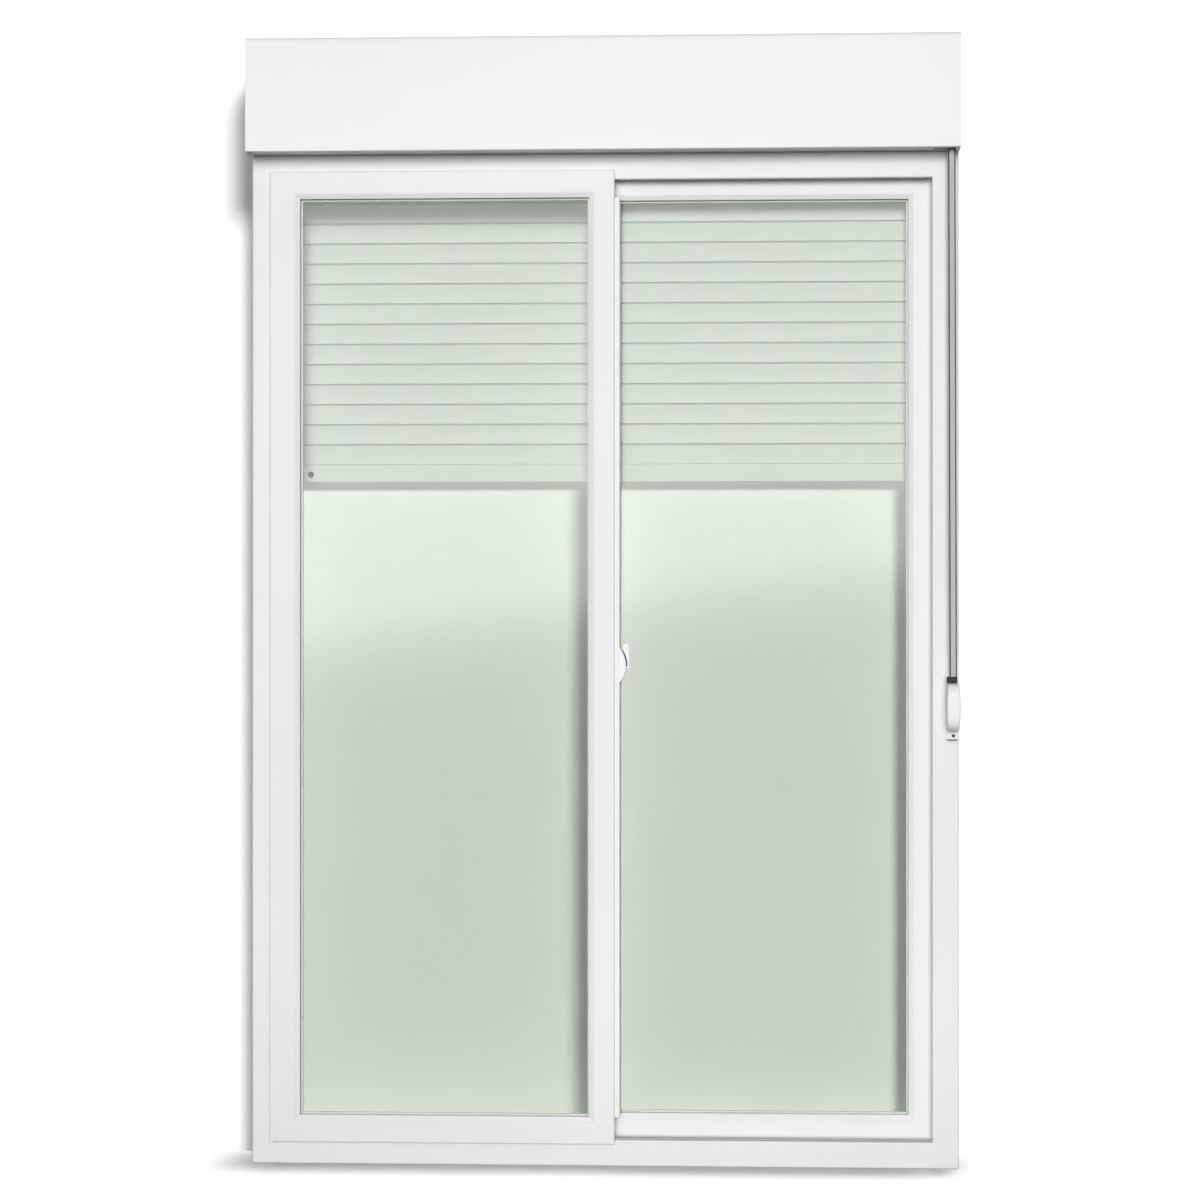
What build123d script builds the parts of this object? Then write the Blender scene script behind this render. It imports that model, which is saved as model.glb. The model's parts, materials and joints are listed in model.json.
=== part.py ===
"""White PVC balcony door with two sliding sashes, a roller-shutter box and a strap winder.

Lengths are in millimetres. +X is to the right seen from the room, -Y faces the room and +Z is up.
The origin is the middle of the sill's underside, halfway through the depth of the frame.
"""
import math
import os

from build123d import *

# Outer frame
frame_width = 1400.0
frame_height = 2005.0
frame_web = 22.0
lip_height = 52.0
track_thickness = 16.0
back_leg_height = 34.0
back_leg_thickness = 11.0
frame_edge_radius = 3.0
fixing_hole_diameter = 10.0
fixing_lowest = 200.0
fixing_pitch = 535.0
fixing_count = 4
drain_slot_length = 35.0
drain_slot_height = 5.0
drain_slot_pitch = 420.0
drain_slot_count = 3

# Running rails on the sill
rail_width = 6.0
rail_height = 5.0
rail_crown_radius = 2.8

# Sashes
running_clearance = 5.0
sash_flange = 6.0
sash_groove_depth = 28.0
sash_body = 43.5
sash_face = 54.0
sash_side_edge = 36.0
stile_flange_width = 6.5
rail_engagement = 8.0
head_engagement = 18.0
sash_edge_radius = 3.0
sash_back_lip = 4.0
meeting_trim = 3.5
meeting_overlap = 45.0

# Glazing
glass_thickness = 4.0
glass_cavity = 10.0
glass_edge_gap = 2.0
bead_depth = 12.5
bead_flat = 1.5
bead_edge = 8.5
bead_seam = 0.5
bead_mitre_gap = 0.1
front_gasket_thickness = 1.5
gasket_cover = 7.0
gasket_lip = 0.6
spacer_inset = 2.0
spacer_height = 10.0

# Interlock between the meeting stiles
hook_thickness = 2.0
hook_leg_offset = 10.0
hook_reach = 16.0
interlock_cover_width = 9.5
interlock_cover_setback = 6.0

# Rollers under the sashes
roller_radius = 7.0
roller_width = 10.0
roller_inset = 110.0
roller_seat_gap = 0.3
carriage_length = 60.0
carriage_width = 22.0
carriage_height = 12.0
carriage_window = 40.0
carriage_window_width = 15.0
axle_pin_radius = 1.5
pin_clearance = 0.1

# Latch on the front meeting stile
latch_height = 991.0
latch_body_height = 68.0
latch_body_bulge = 12.2
latch_body_depth = 22.0
latch_front_setback = 9.0
latch_gap = 3.0
latch_plate_thickness = 3.0
latch_plate_rim = 2.0
lever_thickness = 3.4
lever_depth = 10.0
lever_pivot_drop = 7.0
lever_pivot_reach = 14.1
lever_eye_radius = 4.0
lever_pin_radius = 1.5
lever_top = 43.0
lever_tip_width = 10.6
lever_lean = 1.3
fork_gap = 0.5

# Shutter guides and curtain
guide_width = 45.0
guide_depth = 27.0
guide_slot_depth = 32.0
guide_slot_gap = 0.6
slat_pitch = 40.6
slat_thickness = 8.5
slat_edge_thickness = 7.3
slat_joint_gap = 3.4
slat_shoulder = 1.0
slat_end_insert = 24.0
slat_neck_thickness = 2.6
slat_neck_setback = 3.7
slat_neck_height = 6.0
slat_neck_gap = 0.4
curtain_bottom = 1358.0
end_slat_height = 36.2
end_slat_gap = 0.6
end_slat_thickness = 8.5
end_slat_radius = 2.0
stop_inset_left = 102.0
stop_inset_right = 84.0
stop_height = 16.0
stop_shank_radius = 3.0
stop_washer_radius = 6.0
stop_washer_thickness = 1.5
stop_buffer_radius = 9.0
stop_buffer_length = 25.0
stop_shank_gap = 0.2

# Shutter box
box_height = 219.0
box_front_depth = 90.0
box_back_margin = 6.0
box_panel = 9.0
box_end_thickness = 7.0
box_corner_radius = 8.5
box_lip_drop = 4.5
box_lip_radius = 2.0
box_lip_depth = 18.0
cover_thickness = 8.0
cover_bearing_width = 15.0
cover_slot_width = 20.0
cover_slot_depth = 7.0

# Shutter axle and strap pulley
axle_across_flats = 60.0
axle_journal_radius = 6.0
axle_journal_length = 4.0
axle_end_gap = 1.0
journal_gap = 0.3
axle_below_top = 108.0
pulley_radius = 70.0
pulley_flange = 1.0
pulley_flange_rim = 6.0
pulley_side_gap = 0.8
strap_pulley_gap = 0.3

# Lift strap and its guide plate
strap_width = 14.0
strap_thickness = 1.2
strap_inset = 16.0
strap_front_offset = 45.0
strap_guide_width = 42.0
strap_guide_depth = 22.0
strap_guide_thickness = 2.5
strap_guide_end_gap = 8.0
strap_slot_gap = 0.8

# Strap winder on the right jamb
winder_bottom = 844.0
winder_shift = 3.0
winder_base_height = 168.0
winder_base_width = 26.0
winder_base_radius = 6.5
winder_base_thickness = 9.0
winder_case_width = 26.0
winder_end_width = 22.0
winder_case_bottom = 20.0
winder_case_height = 94.0
winder_case_depth = 61.0
winder_case_radius = 26.0
winder_edge_chamfer = 1.8
winder_inlet_height = 12.0
winder_inlet_depth = 24.0
winder_inlet_wall = 2.2
strap_tail = 40.0

# Derived positions through the depth
sash_depth = 2 * sash_flange + 2 * running_clearance + track_thickness
sash_gap = 3 * running_clearance + 2 * hook_thickness
track_pitch = sash_depth + sash_gap
frame_depth = track_pitch + track_thickness + 2 * running_clearance + sash_flange + back_leg_thickness
frame_front = -frame_depth / 2
frame_back = frame_depth / 2
front_sash_front = frame_front - running_clearance - sash_flange
rear_sash_front = front_sash_front + track_pitch
curtain_y = frame_back + guide_depth / 2
box_front = frame_front - box_front_depth
box_back = frame_back + guide_depth + box_back_margin
strap_y = frame_front - strap_front_offset

# Derived positions across and up
half_width = frame_width / 2
sash_bottom = lip_height - rail_engagement
sash_top = frame_height - lip_height + head_engagement
sash_outer_edge = half_width - sash_side_edge - stile_flange_width
sash_inner_edge = meeting_overlap / 2 + meeting_trim
front_sash_box = (-sash_outer_edge, sash_inner_edge, sash_bottom, sash_top)
rear_sash_box = (-sash_inner_edge, sash_outer_edge, sash_bottom, sash_top)
stile_edge = sash_inner_edge - meeting_trim
latch_seat = stile_edge + interlock_cover_width
box_top = frame_height + box_height
box_lip_bottom = frame_height - box_lip_drop
panel_half_width = half_width - box_end_thickness
strap_x = half_width - strap_inset

# Derived glazing positions behind the sash face
gasket_front = bead_depth
pane_front = gasket_front + front_gasket_thickness
cavity_front = pane_front + glass_thickness
cavity_back = cavity_front + glass_cavity
pane_back = cavity_back + glass_thickness
back_lip_front = sash_depth - sash_back_lip

os.makedirs("parts", exist_ok=True)


def save(piece, name):
    """Labels one finished piece and writes it as its own file."""
    piece.part.label = name
    export_step(piece.part, f"parts/{name}.step")


def section_plane(side, box, front):
    """Section plane halfway along one side of a rectangle: x runs inwards and y runs back."""
    left, right, bottom, top = box
    middle_x = (left + right) / 2
    middle_z = (bottom + top) / 2
    origins = {
        "left": (left, front, middle_z),
        "right": (right, front, middle_z),
        "bottom": (middle_x, front, bottom),
        "top": (middle_x, front, top),
    }
    inwards = {"left": (1, 0, 0), "right": (-1, 0, 0), "bottom": (0, 0, 1), "top": (0, 0, -1)}
    along = Vector(*inwards[side]).cross(Vector(0, 1, 0))
    return Plane(origin=origins[side], x_dir=inwards[side], z_dir=along)


def side_length(side, box):
    """Length of one side of a rectangle."""
    left, right, bottom, top = box
    return top - bottom if side in ("left", "right") else right - left


def mitred_member(profile, side, box, front, reach, depth, gap=0.0, flange=0.0):
    """Carries a section along one side of a rectangle and cuts both ends at 45 degrees.

    A flange that stands out beyond the rectangle keeps square ends.
    """
    section = section_plane(side, box, front)
    half = side_length(side, box) / 2 - gap
    with BuildPart() as member:
        with BuildSketch(section):
            add(profile.sketch)
        extrude(amount=half + gap, both=True)
        with BuildSketch(Plane(origin=section.origin, x_dir=section.x_dir, z_dir=section.y_dir)):
            with BuildLine():
                Polyline((0, -half), (0, half), (reach, half - reach), (reach, reach - half), close=True)
            make_face()
            if flange > 0:
                with Locations((-flange / 2, 0)):
                    Rectangle(flange, 2 * half)
        extrude(amount=2 * depth, both=True, mode=Mode.INTERSECT)
    return member


def rectangle_ring(box, outer_inset, inner_inset, front, back):
    """Flat rectangular ring between two insets from a rectangle, from one depth to another."""
    left, right, bottom, top = box
    plane = Plane(origin=((left + right) / 2, front, (bottom + top) / 2), x_dir=(1, 0, 0), z_dir=(0, 1, 0))
    with BuildSketch(plane) as ring:
        Rectangle(right - left - 2 * outer_inset, top - bottom - 2 * outer_inset)
        Rectangle(right - left - 2 * inner_inset, top - bottom - 2 * inner_inset, mode=Mode.SUBTRACT)
    extrude(ring.sketch, amount=back - front)


# Frame section: a web with a front track, a rear track and a lower leg at the back
with BuildSketch() as frame_profile:
    with BuildLine():
        Polyline(
            (0, 0),
            (lip_height, 0),
            (lip_height, track_thickness),
            (frame_web, track_thickness),
            (frame_web, track_pitch),
            (lip_height, track_pitch),
            (lip_height, track_pitch + track_thickness),
            (frame_web, track_pitch + track_thickness),
            (frame_web, frame_depth - back_leg_thickness),
            (back_leg_height, frame_depth - back_leg_thickness),
            (back_leg_height, frame_depth),
            (0, frame_depth),
            close=True,
        )
    make_face()
    fillet(frame_profile.vertices().group_by(Axis.X)[-1], frame_edge_radius)
    fillet(frame_profile.vertices().sort_by_distance((0, 0))[0], frame_edge_radius)

frame_box = (-half_width, half_width, 0, frame_height)
channel_y = frame_front + (track_thickness + track_pitch) / 2


def fixing_holes(outer_x, inward):
    """Screw holes through the web of a jamb, between its two tracks."""
    heights = [fixing_lowest + i * fixing_pitch for i in range(fixing_count)]
    with BuildSketch(Plane(origin=(outer_x, 0, 0), x_dir=(0, 1, 0), z_dir=(1, 0, 0))) as holes:
        with Locations(*[(channel_y, z) for z in heights]):
            Circle(fixing_hole_diameter / 2)
    extrude(holes.sketch, amount=inward * frame_web, mode=Mode.SUBTRACT)


left_blank = mitred_member(frame_profile, "left", frame_box, frame_front, lip_height, frame_depth)
with BuildPart() as frame_jamb_left:
    add(left_blank.part)
    fixing_holes(-half_width, 1)
save(frame_jamb_left, "frame_jamb_left")

right_blank = mitred_member(frame_profile, "right", frame_box, frame_front, lip_height, frame_depth)
with BuildPart() as frame_jamb_right:
    add(right_blank.part)
    fixing_holes(half_width, -1)
save(frame_jamb_right, "frame_jamb_right")

frame_head = mitred_member(frame_profile, "top", frame_box, frame_front, lip_height, frame_depth)
save(frame_head, "frame_head")

# Sill: the same section with drain slots through its outer leg
sill_blank = mitred_member(frame_profile, "bottom", frame_box, frame_front, lip_height, frame_depth)
with BuildPart() as frame_sill:
    add(sill_blank.part)
    drain_level = (0, frame_back, frame_web + drain_slot_height)
    with BuildSketch(Plane(origin=drain_level, x_dir=(1, 0, 0), z_dir=(0, 1, 0))):
        with GridLocations(drain_slot_pitch, 1, drain_slot_count, 1):
            SlotOverall(drain_slot_length, drain_slot_height)
    extrude(amount=-back_leg_thickness, mode=Mode.SUBTRACT)
save(frame_sill, "frame_sill")

# Running rails: round-topped strips on the two sill tracks, between the jambs
rail_half_length = half_width - lip_height
with BuildPart() as track_rails:
    with BuildSketch(Plane.YZ) as rail_section:
        for rail_y in (frame_front + track_thickness / 2, frame_front + track_pitch + track_thickness / 2):
            with Locations((rail_y, lip_height)):
                Rectangle(rail_width, rail_height, align=(Align.CENTER, Align.MIN))
        fillet(rail_section.vertices().group_by(Axis.Y)[-1], rail_crown_radius)
    extrude(amount=rail_half_length, both=True)
save(track_rails, "track_rails")


# Sash section: two flanges round the track groove, a glazing rebate and a back lip
def sash_section(outer, grooved):
    """Section of a sash member that begins at a given distance from the sash edge."""
    with BuildSketch() as profile:
        with BuildLine():
            Polyline(
                (outer, 0),
                (sash_body, 0),
                (sash_body, back_lip_front),
                (sash_face, back_lip_front),
                (sash_face, sash_depth),
                (outer, sash_depth),
                close=True,
            )
        make_face()
        if grooved:
            with Locations(((outer + sash_groove_depth) / 2, sash_depth / 2)):
                Rectangle(sash_groove_depth - outer, sash_depth - 2 * sash_flange, mode=Mode.SUBTRACT)
        fillet(profile.vertices().sort_by_distance((outer, 0))[0], sash_edge_radius)
        fillet(profile.vertices().sort_by_distance((outer, sash_depth))[0], sash_edge_radius)
    return profile


rail_profile = sash_section(0, True)
stile_profile = sash_section(-stile_flange_width, True)
meeting_profile = sash_section(meeting_trim, False)

# Glazing bead section: a narrow flat, a shallow bevel and an upright edge down to the glass
with BuildSketch() as bead_profile:
    with BuildLine():
        Polyline(
            (sash_body, bead_seam),
            (sash_body + bead_seam, 0),
            (sash_body + bead_flat, 0),
            (sash_face, bead_depth - bead_edge),
            (sash_face, bead_depth),
            (sash_body, bead_depth),
            close=True,
        )
    make_face()


def inside_meeting_edge(box, meeting):
    """Trims what lies beyond the milled edge of the meeting stile."""
    left, right, bottom, top = box
    edge = right - meeting_trim if meeting == "right" else left + meeting_trim
    reach = 2 * frame_width if meeting == "right" else -2 * frame_width
    middle = Plane(origin=(edge - reach / 2, 0, (bottom + top) / 2), x_dir=(1, 0, 0), z_dir=(0, 1, 0))
    with BuildSketch(middle) as kept:
        Rectangle(abs(reach), 2 * frame_height)
    extrude(kept.sketch, amount=2 * frame_depth, both=True, mode=Mode.INTERSECT)


def make_sash(name, box, front, meeting):
    """Makes and writes the members and glazing of one sash."""
    left, right, bottom, top = box
    outer_side = "left" if meeting == "right" else "right"
    groove_middle = front + sash_depth / 2
    groove_width = sash_depth - 2 * sash_flange

    stile_outer = mitred_member(
        stile_profile, outer_side, box, front, sash_face, sash_depth, flange=stile_flange_width
    )
    save(stile_outer, f"{name}_stile_outer")

    # Meeting stile: closed edge, slotted at both ends where the tracks pass
    blank = mitred_member(meeting_profile, meeting, box, front, sash_face, sash_depth)
    with BuildPart() as stile_meeting:
        add(blank.part)
        sash_middle = ((left + right) / 2, groove_middle, 0)
        with BuildSketch(Plane(origin=sash_middle, x_dir=(0, 1, 0), z_dir=(1, 0, 0))):
            for end_z in (bottom + sash_groove_depth / 2, top - sash_groove_depth / 2):
                with Locations((0, end_z)):
                    Rectangle(groove_width, sash_groove_depth)
        extrude(amount=right - left, both=True, mode=Mode.SUBTRACT)
    save(stile_meeting, f"{name}_stile_meeting")

    for side, label in (("top", "rail_top"), ("bottom", "rail_bottom")):
        bar = mitred_member(rail_profile, side, box, front, sash_face, sash_depth)
        with BuildPart() as rail:
            add(bar.part)
            inside_meeting_edge(box, meeting)
        save(rail, f"{name}_{label}")

    with BuildPart() as beads:
        for side in ("left", "right", "bottom", "top"):
            strip = mitred_member(bead_profile, side, box, front, sash_face, sash_depth, bead_mitre_gap)
            add(strip.part)
    save(beads, f"{name}_beads")

    gasket_outer = sash_face - gasket_cover
    gasket_inner = sash_face + gasket_lip
    with BuildPart() as gaskets:
        rectangle_ring(box, gasket_outer, gasket_inner, front + gasket_front, front + pane_front)
        rectangle_ring(box, gasket_outer, gasket_inner, front + pane_back, front + back_lip_front)
    save(gaskets, f"{name}_gaskets")

    glass_inset = sash_body + glass_edge_gap
    glass_width = right - left - 2 * glass_inset
    glass_height = top - bottom - 2 * glass_inset
    with BuildPart() as glass:
        for pane_y in (front + pane_front, front + cavity_back):
            middle = ((left + right) / 2, pane_y, (bottom + top) / 2)
            with BuildSketch(Plane(origin=middle, x_dir=(1, 0, 0), z_dir=(0, 1, 0))):
                Rectangle(glass_width, glass_height)
            extrude(amount=glass_thickness)
    save(glass, f"{name}_glass")

    spacer_outer = glass_inset + spacer_inset
    spacer_inner = spacer_outer + spacer_height
    with BuildPart() as spacer:
        rectangle_ring(box, spacer_outer, spacer_inner, front + cavity_front, front + cavity_back)
    save(spacer, f"{name}_spacer")

    # Interlock: an angled hook towards the other sash, which in front also covers the stile's edge
    hand = 1 if meeting == "right" else -1
    leg_outer = hook_leg_offset + hook_thickness
    hook_tip = leg_outer - hook_reach
    seat_y = front + sash_depth if meeting == "right" else front
    foot_y = seat_y + hand * (sash_gap - running_clearance)
    with BuildPart() as interlock:
        with BuildSketch(Plane.XY.offset(bottom)):
            with BuildLine():
                Polyline(
                    (hand * leg_outer, seat_y),
                    (hand * leg_outer, foot_y),
                    (hand * hook_tip, foot_y),
                    (hand * hook_tip, foot_y - hand * hook_thickness),
                    (hand * hook_leg_offset, foot_y - hand * hook_thickness),
                    (hand * hook_leg_offset, seat_y),
                    close=True,
                )
            make_face()
        extrude(amount=top - bottom)
        if meeting == "right":
            cover_foot = seat_y + hook_thickness
            cover_front = front + interlock_cover_setback
            with BuildSketch(Plane.XY.offset(bottom + sash_face)) as cover:
                with BuildLine():
                    Polyline(
                        (stile_edge, cover_front),
                        (latch_seat, cover_front),
                        (latch_seat, cover_foot),
                        (leg_outer, cover_foot),
                        (leg_outer, seat_y),
                        (stile_edge, seat_y),
                        close=True,
                    )
                make_face()
            extrude(cover.sketch, amount=top - bottom - 2 * sash_face)
    save(interlock, f"{name}_interlock")

    # Rollers: a carriage under the groove's roof at each end, with a wheel on a pin
    roof = bottom + sash_groove_depth
    wheel_z = lip_height + rail_height + roller_seat_gap + roller_radius
    with BuildPart() as rollers:
        for roller_x in (left + roller_inset, right - roller_inset):
            with BuildSketch(Plane(origin=(roller_x, groove_middle, roof - carriage_height))):
                Rectangle(carriage_length, carriage_width)
                Rectangle(carriage_window, carriage_window_width, mode=Mode.SUBTRACT)
            extrude(amount=carriage_height)
            axle_plane = Plane(origin=(roller_x, groove_middle, wheel_z), x_dir=(1, 0, 0), z_dir=(0, 1, 0))
            with BuildSketch(axle_plane):
                Circle(axle_pin_radius + pin_clearance)
            extrude(amount=carriage_width, both=True, mode=Mode.SUBTRACT)
            with BuildSketch(axle_plane):
                Circle(roller_radius)
            extrude(amount=roller_width / 2, both=True)
            with BuildSketch(axle_plane):
                Circle(axle_pin_radius)
            extrude(amount=carriage_width / 2, both=True)
    save(rollers, f"{name}_rollers")


make_sash("front", front_sash_box, front_sash_front, "right")
make_sash("rear", rear_sash_box, rear_sash_front, "left")

# Latch: a rounded body on the front interlock, with a plate behind the gap and a lever on a pin
latch_front = front_sash_front + latch_front_setback
latch_back = latch_front + latch_body_depth
latch_middle = (latch_front + latch_back) / 2
pivot_x = latch_seat + lever_pivot_reach
pivot_z = latch_height - lever_pivot_drop
half_body = latch_body_height / 2
front_view = Plane(origin=(0, latch_middle, 0), x_dir=(1, 0, 0), z_dir=(0, -1, 0))

with BuildPart() as latch_body:
    with BuildSketch(front_view):
        with BuildLine():
            ThreePointArc(
                (latch_seat, latch_height - half_body),
                (latch_seat + latch_body_bulge, latch_height),
                (latch_seat, latch_height + half_body),
            )
            Line((latch_seat, latch_height + half_body), (latch_seat, latch_height - half_body))
        make_face()
    extrude(amount=latch_body_depth / 2, both=True)
    plate_bulge = latch_body_bulge + latch_gap + latch_plate_rim
    with BuildSketch(Plane(origin=(0, latch_back, 0), x_dir=(1, 0, 0), z_dir=(0, -1, 0))):
        with BuildLine():
            ThreePointArc(
                (latch_seat, latch_height - half_body),
                (latch_seat + plate_bulge, latch_height),
                (latch_seat, latch_height + half_body),
            )
            Line((latch_seat, latch_height + half_body), (latch_seat, latch_height - half_body))
        make_face()
    extrude(amount=latch_plate_thickness)
    with BuildSketch(front_view):
        with Locations((pivot_x, pivot_z)):
            Circle(lever_eye_radius)
        with Locations(((pivot_x + latch_seat) / 2, pivot_z)):
            Rectangle(pivot_x - latch_seat, 2 * lever_eye_radius)
    extrude(amount=latch_body_depth / 2, both=True)
    with BuildSketch(front_view):
        with Locations((pivot_x, pivot_z)):
            Circle(lever_eye_radius + latch_gap)
        with Locations((pivot_x + lever_eye_radius, pivot_z)):
            Rectangle(2 * lever_eye_radius + latch_gap, 2 * (lever_eye_radius + latch_gap))
    extrude(amount=lever_depth / 2 + fork_gap, both=True, mode=Mode.SUBTRACT)
    with BuildSketch(front_view):
        with Locations((pivot_x, pivot_z)):
            Circle(lever_pin_radius)
    extrude(amount=latch_body_depth / 2, both=True)
save(latch_body, "latch_body")

# Lever: a crescent that follows the body at a finger's gap and swells to a thumb tip above it
arc_radius = (half_body**2 + latch_body_bulge**2) / (2 * latch_body_bulge)
arc_x = latch_seat + latch_body_bulge - arc_radius
inner_radius = arc_radius + latch_gap
lever_right = latch_seat + latch_body_bulge + latch_gap + lever_thickness
tip_radius = lever_tip_width / 2
tip_x = lever_right - lever_lean - tip_radius
tip_z = latch_height + lever_top - tip_radius


def on_arc(angle):
    """Point of the lever's inner edge, on a circle about the latch body's own arc centre."""
    return (arc_x + inner_radius * math.cos(angle), latch_height + inner_radius * math.sin(angle))


eye_angle = math.asin((pivot_z - latch_height) / inner_radius)
tip_angle = math.acos((tip_x - tip_radius - arc_x) / inner_radius)
with BuildPart() as latch_lever:
    with BuildSketch(front_view):
        with BuildLine():
            ThreePointArc(on_arc(eye_angle), on_arc((eye_angle + tip_angle) / 2), on_arc(tip_angle))
            Line(on_arc(tip_angle), (tip_x - tip_radius, tip_z))
            ThreePointArc(
                (tip_x - tip_radius, tip_z),
                (tip_x, tip_z + tip_radius),
                (tip_x + tip_radius, tip_z),
            )
            ThreePointArc(
                (tip_x + tip_radius, tip_z),
                (lever_right, (tip_z + pivot_z) / 2),
                (pivot_x + lever_eye_radius, pivot_z),
            )
            Line((pivot_x + lever_eye_radius, pivot_z), on_arc(eye_angle))
        make_face()
        with Locations((pivot_x, pivot_z)):
            Circle(lever_eye_radius)
            Circle(lever_pin_radius + pin_clearance, mode=Mode.SUBTRACT)
    extrude(amount=lever_depth / 2, both=True)
save(latch_lever, "latch_lever")


# Shutter guides: channels behind the jambs, open towards the curtain
def make_guide(name, outer_x, inward):
    """Makes and writes one shutter guide."""
    slot_width = slat_thickness + 2 * guide_slot_gap
    with BuildPart() as guide:
        with BuildSketch(Plane.XY):
            with Locations((outer_x + inward * guide_width / 2, curtain_y)):
                Rectangle(guide_width, guide_depth)
            with Locations((outer_x + inward * (guide_width - guide_slot_depth / 2), curtain_y)):
                Rectangle(guide_slot_depth, slot_width, mode=Mode.SUBTRACT)
        extrude(amount=frame_height)
    save(guide, name)


make_guide("shutter_guide_left", -half_width, 1)
make_guide("shutter_guide_right", half_width, -1)

# Curtain: slats bowed outwards that hook into one another, from the end slat up into the box
slat_half_length = half_width - guide_width + slat_end_insert
slat_body_height = slat_pitch - slat_joint_gap
end_slat_top = curtain_bottom + end_slat_height
first_slat = end_slat_top + end_slat_gap
slat_count = int((box_top - box_panel - axle_below_top - first_slat) / slat_pitch)

slat_waist = slat_body_height / 2
slat_room_side = -slat_thickness / 2
slat_edge_back = slat_room_side + slat_edge_thickness
slat_neck_middle = slat_room_side + slat_neck_setback + slat_neck_thickness / 2
slat_bow = slat_thickness - slat_edge_thickness
shoulder_z = slat_body_height - slat_shoulder
with BuildSketch() as slat_profile:
    with BuildLine():
        Line((slat_room_side, 0), (slat_edge_back, 0))
        ThreePointArc(
            (slat_edge_back, 0),
            (slat_edge_back + slat_bow, slat_waist),
            (slat_edge_back, slat_body_height),
        )
        Line((slat_edge_back, slat_body_height), (slat_room_side + slat_shoulder, slat_body_height))
        Line((slat_room_side + slat_shoulder, slat_body_height), (slat_room_side, shoulder_z))
        ThreePointArc(
            (slat_room_side, shoulder_z),
            (slat_room_side + slat_bow, slat_waist),
            (slat_room_side, 0),
        )
    make_face()
    with Locations((slat_neck_middle, slat_body_height + slat_neck_height / 2)):
        Rectangle(slat_neck_thickness, slat_neck_height)
    neck_slot_height = slat_neck_height - slat_joint_gap + slat_neck_gap
    with Locations((slat_neck_middle, neck_slot_height / 2)):
        Rectangle(slat_neck_thickness + 2 * slat_neck_gap, neck_slot_height, mode=Mode.SUBTRACT)

with BuildPart() as shutter_slats:
    with BuildSketch(Plane.YZ):
        with Locations(*[(curtain_y, first_slat + i * slat_pitch) for i in range(slat_count)]):
            add(slat_profile.sketch)
    extrude(amount=slat_half_length, both=True)
save(shutter_slats, "shutter_slats")

# End slat: a heavier bar with a hole for each stop
stop_places = (stop_inset_left - half_width, half_width - stop_inset_right)
stop_z = curtain_bottom + stop_height
end_neck_height = slat_neck_height - slat_joint_gap + end_slat_gap
with BuildPart() as shutter_end_slat:
    with BuildSketch(Plane.YZ):
        with Locations((curtain_y, curtain_bottom + end_slat_height / 2)):
            RectangleRounded(end_slat_thickness, end_slat_height, end_slat_radius)
        with Locations((curtain_y + slat_neck_middle, end_slat_top + end_neck_height / 2)):
            Rectangle(slat_neck_thickness, end_neck_height)
    extrude(amount=slat_half_length, both=True)
    with BuildSketch(Plane(origin=(0, curtain_y, stop_z), x_dir=(1, 0, 0), z_dir=(0, 1, 0))):
        with Locations(*[(stop_x, 0) for stop_x in stop_places]):
            Circle(stop_shank_radius + stop_shank_gap)
    extrude(amount=end_slat_thickness, both=True, mode=Mode.SUBTRACT)
save(shutter_end_slat, "shutter_end_slat")

# Stops: a shank through the end slat with a washer inside and a buffer outside
slat_front = curtain_y - end_slat_thickness / 2
slat_back = curtain_y + end_slat_thickness / 2
with BuildPart() as shutter_stops:
    for stop_x in stop_places:
        stop_front = Plane(origin=(stop_x, slat_front, stop_z), x_dir=(1, 0, 0), z_dir=(0, 1, 0))
        with BuildSketch(stop_front):
            Circle(stop_washer_radius)
        extrude(amount=-stop_washer_thickness)
        with BuildSketch(stop_front):
            Circle(stop_shank_radius)
        extrude(amount=end_slat_thickness)
        with BuildSketch(stop_front.offset(end_slat_thickness)):
            Circle(stop_buffer_radius)
        extrude(amount=stop_buffer_length)
save(shutter_stops, "shutter_stops")

# Shutter box: front panel with a lip that turns under, top, back, access cover and two ends
with BuildPart() as box_front_panel:
    with BuildSketch(Plane.YZ) as front_section:
        with BuildLine():
            Polyline(
                (box_front, box_lip_bottom),
                (box_front + box_lip_depth, box_lip_bottom),
                (box_front + box_lip_depth, frame_height),
                (box_front + box_panel, frame_height),
                (box_front + box_panel, box_top),
                (box_front, box_top),
                close=True,
            )
        make_face()
        fillet(front_section.vertices().sort_by_distance((box_front, box_top))[0], box_corner_radius)
        fillet(front_section.vertices().sort_by_distance((box_front, box_lip_bottom))[0], box_lip_radius)
    extrude(amount=panel_half_width, both=True)
save(box_front_panel, "box_front_panel")

with BuildPart() as box_top_panel:
    with BuildSketch(Plane.XY.offset(box_top)):
        with Locations((0, (box_front + box_panel + box_back) / 2)):
            Rectangle(2 * panel_half_width, box_back - box_front - box_panel)
    extrude(amount=-box_panel)
save(box_top_panel, "box_top_panel")

with BuildPart() as box_back_panel:
    with BuildSketch(Plane.XY.offset(frame_height)):
        with Locations((0, box_back - box_panel / 2)):
            Rectangle(2 * panel_half_width, box_panel)
    extrude(amount=box_height - box_panel)
save(box_back_panel, "box_back_panel")

# Access cover: rests on the front lip and on the frame head, with a slot for the strap
cover_front = box_front + box_panel
cover_back = frame_front + cover_bearing_width
with BuildPart() as box_access_cover:
    with BuildSketch(Plane.XY.offset(frame_height)):
        with Locations((0, (cover_front + cover_back) / 2)):
            Rectangle(2 * panel_half_width, cover_back - cover_front)
        with Locations((strap_x, strap_y)):
            Rectangle(cover_slot_width, cover_slot_depth, mode=Mode.SUBTRACT)
    extrude(amount=cover_thickness)
save(box_access_cover, "box_access_cover")

axle_y = strap_y + strap_thickness / 2 + strap_pulley_gap + pulley_radius
axle_z = box_top - axle_below_top


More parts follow.
